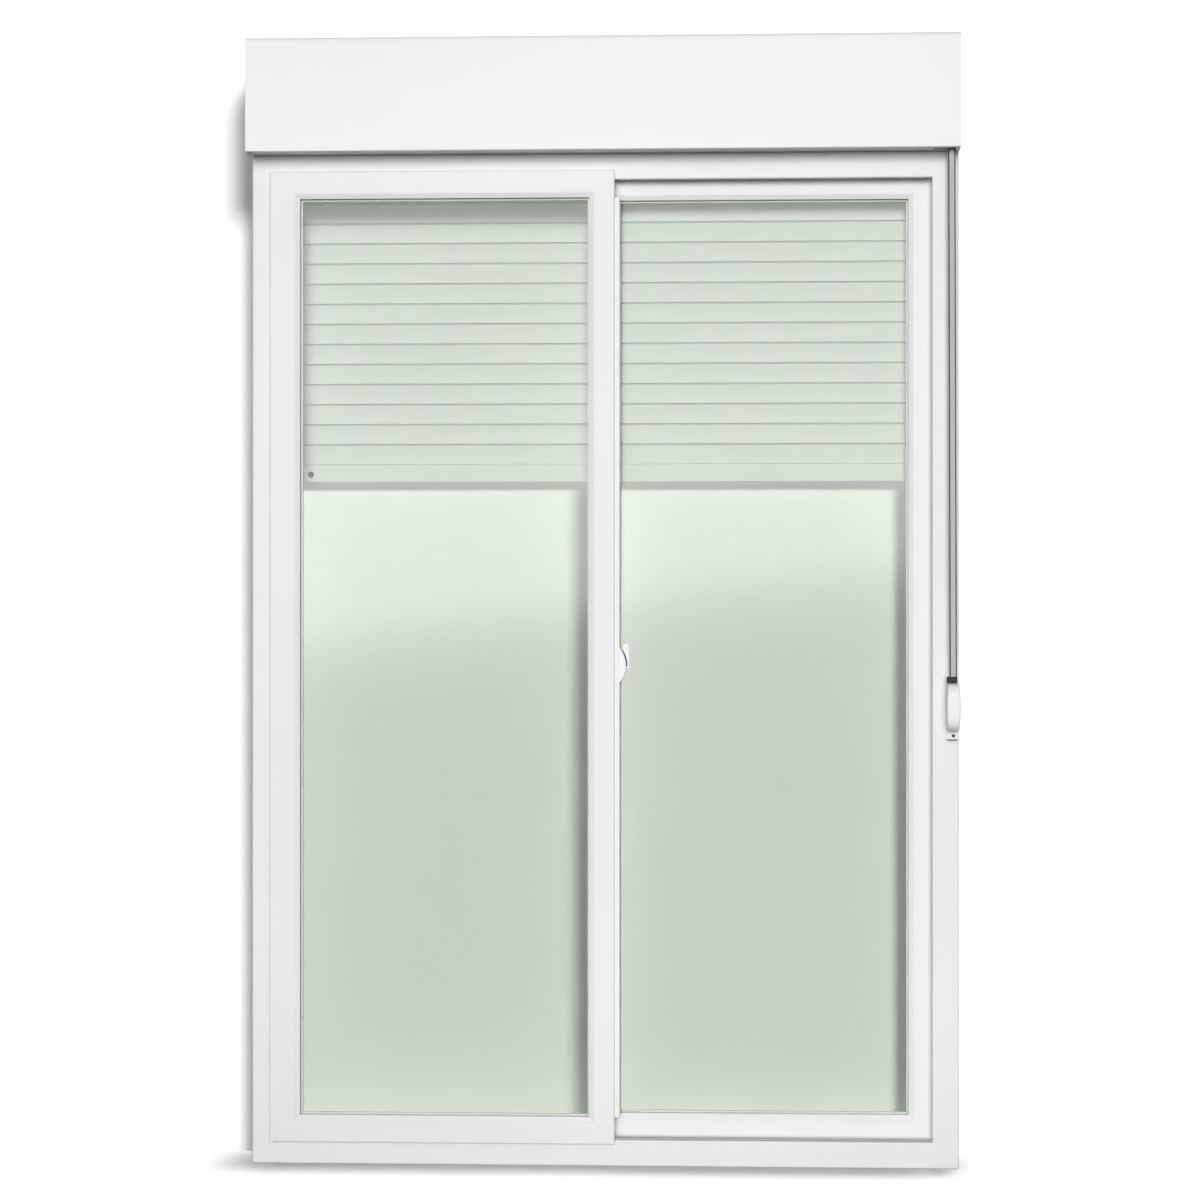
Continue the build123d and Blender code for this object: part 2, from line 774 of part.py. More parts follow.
def make_box_end(name, inner_x, outward):
    """Makes and writes one end of the shutter box, with a socket for the axle."""
    with BuildPart() as end:
        with BuildSketch(Plane.YZ.offset(inner_x)) as outline:
            with BuildLine():
                Polyline(
                    (box_front, box_lip_bottom),
                    (frame_front - running_clearance, box_lip_bottom),
                    (frame_front - running_clearance, frame_height),
                    (box_back, frame_height),
                    (box_back, box_top),
                    (box_front, box_top),
                    close=True,
                )
            make_face()
            fillet(outline.vertices().sort_by_distance((box_front, box_top))[0], box_corner_radius)
            fillet(outline.vertices().sort_by_distance((box_front, box_lip_bottom))[0], box_lip_radius)
        extrude(amount=outward * box_end_thickness)
        with BuildSketch(Plane.YZ.offset(inner_x)):
            with Locations((axle_y, axle_z)):
                Circle(axle_journal_radius + journal_gap)
        extrude(amount=outward * axle_journal_length, mode=Mode.SUBTRACT)
    save(end, name)


make_box_end("box_end_left", -panel_half_width, -1)
make_box_end("box_end_right", panel_half_width, 1)

# Shutter axle: an octagonal tube with journals in the box ends and a strap pulley at the right
axle_half_length = panel_half_width - axle_end_gap
pulley_outer = strap_x + strap_width / 2 + pulley_side_gap
pulley_inner = strap_x - strap_width / 2 - pulley_side_gap
with BuildPart() as shutter_axle:
    with BuildSketch(Plane.YZ):
        with Locations((axle_y, axle_z)):
            RegularPolygon(axle_across_flats / 2, 8, major_radius=False)
    extrude(amount=axle_half_length, both=True)
    with BuildSketch(Plane.YZ):
        with Locations((axle_y, axle_z)):
            Circle(axle_journal_radius)
    extrude(amount=axle_half_length + axle_journal_length, both=True)
    with BuildSketch(Plane.YZ.offset(pulley_inner)):
        with Locations((axle_y, axle_z)):
            Circle(pulley_radius)
    extrude(amount=pulley_outer - pulley_inner)
    with BuildSketch(Plane.YZ.offset(pulley_inner)):
        with Locations((axle_y, axle_z)):
            Circle(pulley_radius + pulley_flange_rim)
    extrude(amount=-pulley_flange)
    with BuildSketch(Plane.YZ.offset(pulley_outer)):
        with Locations((axle_y, axle_z)):
            Circle(pulley_radius + pulley_flange_rim)
    extrude(amount=pulley_flange)
save(shutter_axle, "shutter_axle")

# Strap winder: a base plate on the right jamb, a barrel-sided case and a dark inlet for the strap
winder_x = strap_x + winder_shift
winder_top = winder_bottom + winder_base_height
base_front = frame_front - winder_base_thickness
case_bottom = winder_bottom + winder_case_bottom
case_top = case_bottom + winder_case_height
case_middle = (case_bottom + case_top) / 2
case_front = base_front - winder_case_depth
strap_pocket_width = strap_width + 2 * strap_slot_gap
strap_pocket_depth = strap_thickness + 2 * strap_slot_gap

with BuildPart() as winder_base:
    base_middle = (winder_x, frame_front, (winder_bottom + winder_top) / 2)
    with BuildSketch(Plane(origin=base_middle, x_dir=(1, 0, 0), z_dir=(0, -1, 0))):
        RectangleRounded(winder_base_width, winder_base_height, winder_base_radius)
    extrude(amount=winder_base_thickness)
save(winder_base, "winder_base")

with BuildPart() as winder_case:
    with BuildSketch(Plane.YZ.offset(winder_x)) as side_view:
        with BuildLine():
            Polyline(
                (base_front, case_bottom),
                (case_front, case_bottom),
                (case_front, case_top),
                (base_front, case_top),
                close=True,
            )
        make_face()
        fillet(side_view.vertices().group_by(Axis.X)[0], winder_case_radius)
    extrude(amount=winder_case_width / 2, both=True)
    half_end = winder_end_width / 2
    half_case = winder_case_width / 2
    barrel_plane = Plane(origin=(winder_x, base_front, 0), x_dir=(1, 0, 0), z_dir=(0, -1, 0))
    with BuildSketch(barrel_plane):
        with BuildLine():
            ThreePointArc((half_end, case_bottom), (half_case, case_middle), (half_end, case_top))
            Line((half_end, case_top), (-half_end, case_top))
            ThreePointArc((-half_end, case_top), (-half_case, case_middle), (-half_end, case_bottom))
            Line((-half_end, case_bottom), (half_end, case_bottom))
        make_face()
    extrude(amount=winder_case_depth, mode=Mode.INTERSECT)
    flanks = winder_case.faces().sort_by(Axis.X)
    left_rim = flanks[0].edges().sort_by(Axis.Y)[:-1]
    right_rim = flanks[-1].edges().sort_by(Axis.Y)[:-1]
    chamfer(left_rim + right_rim, winder_edge_chamfer)
    with BuildSketch(Plane(origin=(strap_x, strap_y, case_top))):
        Rectangle(strap_pocket_width, strap_pocket_depth)
    extrude(amount=-strap_tail, mode=Mode.SUBTRACT)
save(winder_case, "winder_case")

with BuildPart() as winder_inlet:
    with BuildSketch(Plane(origin=(strap_x, strap_y, case_top))):
        Rectangle(strap_pocket_width + 2 * winder_inlet_wall, winder_inlet_depth)
        Rectangle(strap_pocket_width, strap_pocket_depth, mode=Mode.SUBTRACT)
    extrude(amount=winder_inlet_height)
    top_edges = winder_inlet.faces().sort_by(Axis.Z)[-1].outer_wire().edges()
    fillet(top_edges, winder_inlet_wall / 2)
save(winder_inlet, "winder_inlet")

# Strap guide: a slotted plate under the access cover
guide_right = half_width - strap_guide_end_gap
with BuildPart() as strap_guide:
    with BuildSketch(Plane.XY.offset(frame_height)):
        with Locations((guide_right - strap_guide_width / 2, strap_y)):
            Rectangle(strap_guide_width, strap_guide_depth)
        with Locations((strap_x, strap_y)):
            Rectangle(strap_pocket_width, strap_pocket_depth, mode=Mode.SUBTRACT)
    extrude(amount=-strap_guide_thickness)
save(strap_guide, "strap_guide")

# Lift strap: straight from the pulley through its guide into the winder
with BuildPart() as lift_strap:
    with BuildSketch(Plane(origin=(strap_x, strap_y, case_top - strap_tail))):
        Rectangle(strap_width, strap_thickness)
    extrude(amount=axle_z - case_top + strap_tail)
save(lift_strap, "lift_strap")
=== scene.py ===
"""Looks of a white PVC sliding balcony door, with a white studio round it."""
import json
import math

import bpy
import numpy as np
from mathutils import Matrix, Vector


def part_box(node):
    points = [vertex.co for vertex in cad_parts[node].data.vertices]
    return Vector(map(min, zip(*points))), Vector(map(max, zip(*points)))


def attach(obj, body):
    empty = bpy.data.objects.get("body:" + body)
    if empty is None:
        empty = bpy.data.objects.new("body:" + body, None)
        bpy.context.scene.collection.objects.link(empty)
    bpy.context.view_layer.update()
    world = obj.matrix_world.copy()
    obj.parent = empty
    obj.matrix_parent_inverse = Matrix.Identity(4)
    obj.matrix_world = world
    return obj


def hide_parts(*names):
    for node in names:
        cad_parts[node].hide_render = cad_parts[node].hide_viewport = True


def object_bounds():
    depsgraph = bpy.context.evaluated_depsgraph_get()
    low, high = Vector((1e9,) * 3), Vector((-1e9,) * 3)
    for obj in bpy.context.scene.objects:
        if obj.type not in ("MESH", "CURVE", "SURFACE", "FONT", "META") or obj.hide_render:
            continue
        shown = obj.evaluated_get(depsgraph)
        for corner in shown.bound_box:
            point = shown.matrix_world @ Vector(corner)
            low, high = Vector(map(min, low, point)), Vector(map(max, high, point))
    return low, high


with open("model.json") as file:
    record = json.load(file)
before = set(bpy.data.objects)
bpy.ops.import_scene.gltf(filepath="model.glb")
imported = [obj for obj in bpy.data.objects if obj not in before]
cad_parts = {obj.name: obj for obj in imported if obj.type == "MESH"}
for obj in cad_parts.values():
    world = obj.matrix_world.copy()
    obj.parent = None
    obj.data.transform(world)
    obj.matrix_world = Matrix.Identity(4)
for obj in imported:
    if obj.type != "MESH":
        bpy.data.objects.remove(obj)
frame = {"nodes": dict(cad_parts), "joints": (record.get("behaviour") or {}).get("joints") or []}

bl_info = {
    "name": "Sliding balcony door",
    "version": (1, 0, 0),
    "blender": (4, 5, 0),
    "location": "3D View > Sidebar > Door",
    "description": "Finishes and small fittings of a PVC sliding door with a roller-shutter box",
    "category": "Object",
}

CAD_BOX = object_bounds()
MM = 0.001

# Grain directions: how far Object coordinates are squeezed along a drawn piece
EVERY_WAY = (1, 1, 1)
ALONG_X = (0.02, 1, 1)
ALONG_Z = (1, 1, 0.02)
AXLE_DRAWN = (0.05, 1, 1)

# Plastics: grains per metre, and the roughness between which the sheen wanders
PVC_GRAIN = 260.0
BEAD_GRAIN = 60.0
SLAT_GRAIN = 300.0
SPACER_GRAIN = 600.0
FITTING_GRAIN = 90.0
PVC_SHEEN = (0.28, 0.34)
EVEN_SHEEN = (0.28, 0.3)
SLAT_SHEEN = (0.4, 0.46)
SPACER_SHEEN = (0.4, 0.5)
LATCH_SHEEN = (0.22, 0.26)
PLASTIC_IOR = 1.5
CLOUD_SCALE = 2.4
CLOUD_DETAIL = 3.0
CLOUD_CORE = (0.3, 0.7)
CLOUD_TONES = (0.985, 1.012)
STREAK_CORE = (0.25, 0.75)
DRAWN_RELIEF = 0.004 * MM
DRAWN_STRENGTH = 0.1

# Painted shading on the slats: shade rolling down each slat, a painted highlight on its shoulder and
# painted shade in the joint above; tones are shares of the slat's white, and distances below the joint are
# shares of the pitch
SLAT_ROLL_SHADE = (1.03, 0.965)
SHOULDER_HIGHLIGHT = 0.06
SHOULDER_EDGE = (0.11, 0.09)
JOINT_SHADE = 0.36
JOINT_EDGE = (0.03, 0.015)

# Painted shade in the latch's gap and a painted shadow line under the winder
GAP_SHADE = 0.88
GAP_FRONT_EDGE = (6 * MM, 4 * MM)
GAP_BACK_EDGE = (2 * MM, 1 * MM)
GAP_FADE = 4 * MM
FOOT_SHADOW_TONE = 0.06
FOOT_EDGE = (1.6 * MM, 2.4 * MM)

# Metals, rubbers and glass
GRAIN_CORE = (0.2, 0.8)
METAL_GRAIN = 420.0
METAL_DETAIL = 3.0
METAL_TONES = (0.9, 1.06)
METAL_SPREAD = (-0.06, 0.08)
METAL_RELIEF = 0.03 * MM
METAL_STRENGTH = 0.3
AXLE_ROUGHNESS = 0.42
RAIL_ROUGHNESS = 0.34
SCREW_ROUGHNESS = 0.38
RUBBER_GRAIN = 1500.0
RUBBER_TONES = (0.85, 1.15)
RUBBER_SPREAD = (-0.08, 0.08)
RUBBER_RELIEF = 0.05 * MM
RUBBER_STRENGTH = 0.4
SEAL_ROUGHNESS = 0.62
ROLLER_ROUGHNESS = 0.5
INLET_ROUGHNESS = 0.45
MIRROR_HEAD_ON = 0.0426
MIRROR_POWER = 5.0

# Weave of the strap
YARN_TONES = (0.72, 1.12)
YARN_CORE = (-0.5, 0.5)
WEFT_SHARE = 0.8
SELVEDGE_SOFTNESS = (-0.4 * MM, 0.2 * MM)
DOT_CORE = (0.1, 0.8)
DOT_SHARE = 0.35
DOT_TONE = 0.6
FIBRE_GRAIN = 3000.0
FIBRE_ROUGHNESS = (0.7, 0.9)
FIBRE_RELIEF = 0.08 * MM
FIBRE_STRENGTH = 0.5
FIBRE_SHEEN = 0.15
STRAP_POINTS = 32
ROWS_PER_WEAVE = 3
RIBS_ACROSS = 9
WIDTH_POWER = 0.7
THICKNESS_POWER = 0.35

# Screw heads: heights, and the cross recess as shares of the radius and the height
WINDER_SCREW_INSET = 9 * MM
WINDER_SCREW_HEIGHT = 1.4 * MM
STOP_SCREW_HEIGHT = 1.6 * MM
PIN_HEIGHT = 0.5 * MM
SCREW_TURNS = 64
SCREW_RINGS = 22
CROWN_REACH = 0.94
RIM_REACHES = (0.98, 1.0, 1.0)
DOME_POWER = 4
ARM_HALF = 0.17
ARM_WALL = 0.07
ARM_REACH = 0.62
ARM_END = 0.12
RECESS_DEPTH = 0.75

# Studio, in metres: stage sheets, lamps and what they look at
STAGE_HALF = 9.0
WALL_TOP = 8.0
PAPER_WHITE = (0.96, 0.96, 0.96, 1)
PAPER_ROUGHNESS = 0.9
PAPER_SHINE = 0.1
FLOOR_LIFT = 0.1
WALL_LIFT = 0.16
WHITE = (1, 1, 1, 1)
SKY_MIRRORED = 0.4
SKY_FADE = 0.3
CEILING_PLACE = (0.25, -3.8, 2.75)
CEILING_TARGET = (0.25, -3.8, 0.0)
CEILING_SIZE = (0.5, 4.0)
LOW_PLACE = (0.2, -1.3, 0.16)
LOW_TARGET = (0.2, 0.0, 0.16)
LOW_SIZE = (0.6, 0.25)
BACK_PLACE = (-1.5, 5.5, 2.8)
BACK_TARGET = (0.0, 0.0, 1.1)
BACK_SIZE = (2.4, 2.4)
GLOW_PLACE = (-0.52, -7.0, 2.29)
GLOW_TARGET = (-0.52, 0.0, 2.29)
GLOW_SIZE = (4.4, 2.4)
GLOW_ROLL = math.radians(-7.16)
LEVEL_TURN = math.radians(90)
SENSOR_WIDTH = 36.0
FAR_CLIP = 100.0

UPRIGHTS = (
    "frame_jamb_left",
    "frame_jamb_right",
    "shutter_guide_left",
    "shutter_guide_right",
    "front_stile_outer",
    "front_stile_meeting",
    "rear_stile_outer",
    "rear_stile_meeting",
    "front_interlock",
    "rear_interlock",
)
LEVELS = (
    "frame_sill",
    "frame_head",
    "front_rail_top",
    "front_rail_bottom",
    "rear_rail_top",
    "rear_rail_bottom",
)
BEADS = ("front_beads", "rear_beads")
PANES = ("front_glass", "rear_glass")
CURTAIN = ("shutter_slats", "shutter_end_slat")
BOX_PANELS = (
    "box_front_panel",
    "box_top_panel",
    "box_back_panel",
    "box_access_cover",
    "box_end_left",
    "box_end_right",
)


class DoorFinish(bpy.types.PropertyGroup):
    """Colours and sheen of the door's materials."""

    pvc: bpy.props.FloatVectorProperty(
        name="PVC", description="White of the frame and sashes", subtype="COLOR",
        default=(0.8, 0.81, 0.805),
    )
    # painted light: lighter than the frame's white so that the box looks more brightly lit
    box_pvc: bpy.props.FloatVectorProperty(
        name="Box PVC", description="White of the shutter box", subtype="COLOR",
        default=(0.885, 0.89, 0.88),
    )
    slat: bpy.props.FloatVectorProperty(
        name="Slats", description="White of the shutter slats", subtype="COLOR",
        default=(0.87, 0.88, 0.875),
    )
    fitting: bpy.props.FloatVectorProperty(
        name="Fittings", description="White of the latch and winder", subtype="COLOR",
        default=(0.84, 0.845, 0.84),
    )
    dark: bpy.props.FloatVectorProperty(
        name="Dark plastic", description="Black of the strap inlet", subtype="COLOR",
        default=(0.022, 0.022, 0.024),
    )
    gasket: bpy.props.FloatVectorProperty(
        name="Gasket", description="Grey of the glazing seals", subtype="COLOR",
        default=(0.33, 0.34, 0.335),
    )
    rubber: bpy.props.FloatVectorProperty(
        name="Rubber", description="Black of the shutter stops", subtype="COLOR",
        default=(0.03, 0.03, 0.032),
    )
    aluminium: bpy.props.FloatVectorProperty(
        name="Aluminium", description="Tone of the running rails", subtype="COLOR",
        default=(0.62, 0.63, 0.64),
    )
    spacer: bpy.props.FloatVectorProperty(
        name="Spacer", description="Tone of the bars between the panes", subtype="COLOR",
        default=(0.82, 0.83, 0.82),
    )
    steel: bpy.props.FloatVectorProperty(
        name="Steel", description="Tone of the galvanised shutter axle", subtype="COLOR",
        default=(0.46, 0.47, 0.48),
    )
    nylon: bpy.props.FloatVectorProperty(
        name="Nylon", description="Grey of the rollers", subtype="COLOR", default=(0.16, 0.16, 0.165)
    )
    screw: bpy.props.FloatVectorProperty(
        name="Screw", description="Dark plating of the screws", subtype="COLOR",
        default=(0.07, 0.072, 0.075),
    )
    strap_light: bpy.props.FloatVectorProperty(
        name="Strap light", description="Pale yarn of the strap", subtype="COLOR",
        default=(0.54, 0.55, 0.54),
    )
    strap_dark: bpy.props.FloatVectorProperty(
        name="Strap dark", description="Dark yarn at the strap's edges", subtype="COLOR",
        default=(0.03, 0.031, 0.032),
    )
    glass_face: bpy.props.FloatVectorProperty(
        name="Glass", description="What one face of a pane lets through", subtype="COLOR",
        default=(0.868, 0.892, 0.862),
    )
    glass_haze: bpy.props.FloatProperty(
        name="Glass haze", description="How soft a reflection in the panes is",
        default=0.1, min=0.0, max=0.5,
    )


class DoorFittings(bpy.types.PropertyGroup):
    """Sizes of the fittings that are added to the solids."""

    slat_pitch: bpy.props.FloatProperty(
        name="Slat pitch", description="Height from one slat to the next",
        default=40.6 * MM, unit="LENGTH", precision=5,
    )
    slat_joint: bpy.props.FloatProperty(
        name="Slat joint", description="Height of the gap between slats",
        default=3.4 * MM, unit="LENGTH", precision=5,
    )
    weave_pitch: bpy.props.FloatProperty(
        name="Weave pitch", description="Length of one weave of the strap",
        default=2.2 * MM, unit="LENGTH", precision=5,
    )
    weave_relief: bpy.props.FloatProperty(
        name="Weave relief", description="Height of the strap's ribs",
        default=0.12 * MM, unit="LENGTH", precision=5,
    )
    selvedge: bpy.props.FloatProperty(
        name="Selvedge", description="Width of the strap's dark edge",
        default=2.2 * MM, unit="LENGTH", precision=5,
    )
    strap_lean: bpy.props.FloatProperty(
        name="Strap lean", description="How far right the strap's foot hangs",
        default=3.0 * MM, unit="LENGTH", precision=5,
    )
    screw_radius: bpy.props.FloatProperty(
        name="Screw radius", description="Head radius of the winder's screws",
        default=3.2 * MM, unit="LENGTH", precision=5,
    )
    screw_shift: bpy.props.FloatProperty(
        name="Screw shift", description="Winder screws right of the middle",
        default=2.0 * MM, unit="LENGTH", precision=5,
    )
    stop_screw_radius: bpy.props.FloatProperty(
        name="Stop screw radius", description="Head radius of the stop screws",
        default=3.4 * MM, unit="LENGTH", precision=5,
    )
    pin_radius: bpy.props.FloatProperty(
        name="Pin radius", description="Head radius of the latch pin",
        default=1.5 * MM, unit="LENGTH", precision=5,
    )


class DoorStudio(bpy.types.PropertyGroup):
    """Camera, lamps and backdrop."""

    camera_place: bpy.props.FloatVectorProperty(
        name="Camera", description="Where the camera stands", subtype="TRANSLATION", unit="LENGTH",
        default=(0.3308, -6.5006, 1.1041),
    )
    camera_turn: bpy.props.FloatProperty(
        name="Camera turn", description="Turn of the camera to the left", subtype="ANGLE",
        default=math.radians(2.997),
    )
    camera_tilt: bpy.props.FloatProperty(
        name="Camera tilt", description="Upward tilt of the camera", subtype="ANGLE",
        default=math.radians(0.142),
    )
    camera_lens: bpy.props.FloatProperty(
        name="Lens", description="Focal length on a 36 mm sensor, in millimetres", default=97.9
    )
    key_strength: bpy.props.FloatProperty(name="Key", description="Strength of the key light", default=2.35)
    key_width: bpy.props.FloatProperty(
        name="Key softness", description="Angle that the key light fills", subtype="ANGLE",
        default=math.radians(18),
    )
    key_side: bpy.props.FloatProperty(
        name="Key side", description="Angle of the key light to the right", subtype="ANGLE",
        default=math.radians(1),
    )
    key_height: bpy.props.FloatProperty(
        name="Key height", description="Angle of the key light above level", subtype="ANGLE",
        default=math.radians(6.5),
    )
    curtain_strength: bpy.props.FloatProperty(
        name="Curtain light", description="Strength of the light on the slats", default=2.4
    )
    curtain_width: bpy.props.FloatProperty(
        name="Curtain softness", description="Angle that the curtain light fills", subtype="ANGLE",
        default=math.radians(17),
    )
    curtain_side: bpy.props.FloatProperty(
        name="Curtain side", description="Angle of the curtain light to the right", subtype="ANGLE",
        default=math.radians(3),
    )
    curtain_height: bpy.props.FloatProperty(
        name="Curtain height", description="Angle of the curtain light above level", subtype="ANGLE",
        default=math.radians(17),
    )
    wall_strength: bpy.props.FloatProperty(
        name="Wall light", description="Strength of the light on the wall", default=3.1
    )
    wall_width: bpy.props.FloatProperty(
        name="Wall softness", description="Angle that the wall light fills", subtype="ANGLE",
        default=math.radians(13),
    )
    wall_side: bpy.props.FloatProperty(
        name="Wall side", description="Angle of the wall light to the right", subtype="ANGLE",
        default=math.radians(14),
    )
    wall_height: bpy.props.FloatProperty(
        name="Wall height", description="Angle of the wall light above level", subtype="ANGLE",
        default=math.radians(24),
    )
    floor_strength: bpy.props.FloatProperty(
        name="Floor light", description="Strength of the light on the floor", default=3.0
    )
    floor_width: bpy.props.FloatProperty(
        name="Floor softness", description="Angle that the floor light fills", subtype="ANGLE",
        default=math.radians(4.4),
    )
    floor_side: bpy.props.FloatProperty(
        name="Floor side", description="Turn of the floor light round the door", subtype="ANGLE",
        default=math.radians(90),
    )
    floor_height: bpy.props.FloatProperty(
        name="Floor height", description="Angle of the floor light above level", subtype="ANGLE",
        default=math.radians(89.2),
    )
    ceiling_power: bpy.props.FloatProperty(
        name="Ceiling", description="Power of the lamp strip over the floor", unit="POWER", default=22.0
    )
    low_power: bpy.props.FloatProperty(
        name="Low", description="Power of the lamp near the floor", unit="POWER", default=2.2
    )
    back_power: bpy.props.FloatProperty(
        name="Back", description="Power of the lamp behind the door", unit="POWER", default=310.0
    )
    glow_power: bpy.props.FloatProperty(
        name="Glow", description="Power of the panel that the panes mirror", unit="POWER", default=78.0
    )
    sky: bpy.props.FloatProperty(name="Sky", description="Strength of the even light", default=0.05)
    wall_gap: bpy.props.FloatProperty(
        name="Wall gap", description="Distance from the door's back to the wall",
        default=1.5 * MM, unit="LENGTH", precision=5,
    )


def finish():
    """Colours that the panel holds."""
    return bpy.context.scene.door_finish


def fittings():
    """Sizes that the panel holds."""
    return bpy.context.scene.door_fittings


def studio():
    """Stage values that the panel holds."""
    return bpy.context.scene.door_studio


def new_material(name):
    """An empty node material, with its tree and its shader."""
    material = bpy.data.materials.new(name)
    material.use_nodes = True
    tree = material.node_tree
    tree.nodes.clear()
    output = tree.nodes.new("ShaderNodeOutputMaterial")
    shader = tree.nodes.new("ShaderNodeBsdfPrincipled")
    tree.links.new(shader.outputs["BSDF"], output.inputs["Surface"])
    return material, tree, shader


def object_coordinates(tree, scale=EVERY_WAY, offset=(0, 0, 0)):
    """Object coordinates, moved and then stretched."""
    place = tree.nodes.new("ShaderNodeTexCoord")
    mapping = tree.nodes.new("ShaderNodeMapping")
    mapping.inputs["Location"].default_value = [-o * s for o, s in zip(offset, scale)]
    mapping.inputs["Scale"].default_value = scale
    tree.links.new(place.outputs["Object"], mapping.inputs["Vector"])
    return mapping.outputs["Vector"]


def noise(tree, vector, scale, detail=2.0):
    """Noise value on a vector."""
    node = tree.nodes.new("ShaderNodeTexNoise")
    node.inputs["Scale"].default_value = scale
    node.inputs["Detail"].default_value = detail
    tree.links.new(vector, node.inputs["Vector"])
    return node.outputs["Fac"]


def math_node(tree, operation, first, second=None, third=None):
    """One math node; a number or a socket goes into each input."""
    node = tree.nodes.new("ShaderNodeMath")
    node.operation = operation
    for socket, value in zip(node.inputs, (first, second, third)):
        if value is None:
            continue
        if isinstance(value, (int, float)):
            socket.default_value = value
        else:
            tree.links.new(value, socket)
    return node.outputs["Value"]


def map_range(tree, value, from_low, from_high, to_low, to_high, smooth=False):
    """Value moved from one range to another, held at its ends."""
    node = tree.nodes.new("ShaderNodeMapRange")
    node.interpolation_type = "SMOOTHSTEP" if smooth else "LINEAR"
    node.inputs["From Min"].default_value = from_low
    node.inputs["From Max"].default_value = from_high
    node.inputs["To Min"].default_value = to_low
    node.inputs["To Max"].default_value = to_high
    tree.links.new(value, node.inputs["Value"])
    return node.outputs["Result"]


def mix_colours(tree, share, first, second):
    """Colour between two colours; each is a tuple or a socket."""
    node = tree.nodes.new("ShaderNodeMix")
    node.data_type = "RGBA"
    tree.links.new(share, node.inputs[0])
    for socket, value in ((node.inputs[6], first), (node.inputs[7], second)):
        if isinstance(value, bpy.types.NodeSocket):
            tree.links.new(value, socket)
        else:
            socket.default_value = (*value[:3], 1.0)
    return node.outputs[2]


def add_bump(tree, shader, height, distance, strength):
    """Bump of a height in metres on a shader."""
    node = tree.nodes.new("ShaderNodeBump")
    node.inputs["Strength"].default_value = strength
    node.inputs["Distance"].default_value = distance
    tree.links.new(height, node.inputs["Height"])
    tree.links.new(node.outputs["Normal"], shader.inputs["Normal"])


def shaded(colour, factor):
    """A colour made lighter or darker."""
    return tuple(channel * factor for channel in colour[:3])


def tones(colour, factors):
    """A darker and a lighter tone of a colour."""
    return [shaded(colour, factor) for factor in factors]


def split_vector(tree, vector):
    """The X, Y and Z sockets of a vector."""
    parts = tree.nodes.new("ShaderNodeSeparateXYZ")
    tree.links.new(vector, parts.inputs["Vector"])
    return parts.outputs


def blend_shaders(tree, share, first, second):
    """Mixes two shaders by a share and sends the mix to the material's output."""
    blend = tree.nodes.new("ShaderNodeMixShader")
    tree.links.new(share, blend.inputs[0])
    tree.links.new(first.outputs[0], blend.inputs[1])
    tree.links.new(second.outputs[0], blend.inputs[2])
    tree.links.new(blend.outputs[0], tree.nodes["Material Output"].inputs["Surface"])


def seen_directly(tree):
    """One for rays from the camera or through glass, and nought for the rest, with the ray's path."""
    path = tree.nodes.new("ShaderNodeLightPath").outputs
    return math_node(tree, "MAXIMUM", path["Is Camera Ray"], path["Is Transmission Ray"]), path


def plastic(name, colour, grain, sheen=PVC_SHEEN, drawn=EVERY_WAY, shade_bands=None):
    """Smooth plastic: faint cloudy tone, uneven sheen, and drawn grain where asked, with painted shade and
    highlight multiplied into the tone where asked.
    """
    material, tree, shader = new_material(name)
    plain = object_coordinates(tree)
    clouds = noise(tree, plain, CLOUD_SCALE, CLOUD_DETAIL)
    share = map_range(tree, clouds, *CLOUD_CORE, 0, 1)
    tone = mix_colours(tree, share, *tones(colour, CLOUD_TONES))
    # painted shade and highlight, multiplied into the tone
    if shade_bands is not None:
        tone = multiplied(tree, tone, shade_bands(tree, plain))
    tree.links.new(tone, shader.inputs["Base Color"])
    streaks = noise(tree, object_coordinates(tree, drawn), grain)
    tree.links.new(map_range(tree, streaks, *STREAK_CORE, *sheen), shader.inputs["Roughness"])
    if drawn != EVERY_WAY:
        add_bump(tree, shader, streaks, DRAWN_RELIEF, DRAWN_STRENGTH)
    shader.inputs["IOR"].default_value = PLASTIC_IOR
    return material


def multiplied(tree, colour, factor):
    """Colour times a grey factor."""
    node = tree.nodes.new("ShaderNodeVectorMath")
    node.operation = "SCALE"
    tree.links.new(colour, node.inputs[0])
    tree.links.new(factor, node.inputs["Scale"])
    return node.outputs["Vector"]


def slat_painted_shade(tree, vector):
    """Painted shading on one slat: lighter towards its foot and darker towards its top, a painted highlight
    on the shoulder on top and painted shade in the joint above that.
    """
    size = fittings()
    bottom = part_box("shutter_slats")[0].z
    height = math_node(tree, "SUBTRACT", split_vector(tree, vector)["Z"], bottom)
    share = math_node(tree, "FRACT", math_node(tree, "DIVIDE", height, size.slat_pitch))
    body = 1 - size.slat_joint / size.slat_pitch
    # painted shade: each slat lighter at its foot and darker at its top
    roll = map_range(tree, share, 0.0, body, *SLAT_ROLL_SHADE)
    # painted highlight on the slat's shoulder
    shoulder_highlight = map_range(tree, share, body - SHOULDER_EDGE[0], body - SHOULDER_EDGE[1], 0.0, SHOULDER_HIGHLIGHT)
    # painted shade in the joint between slats
    joint = map_range(tree, share, body - JOINT_EDGE[0], body - JOINT_EDGE[1], 0.0, JOINT_SHADE)
    return math_node(tree, "SUBTRACT", math_node(tree, "ADD", roll, shoulder_highlight), joint)


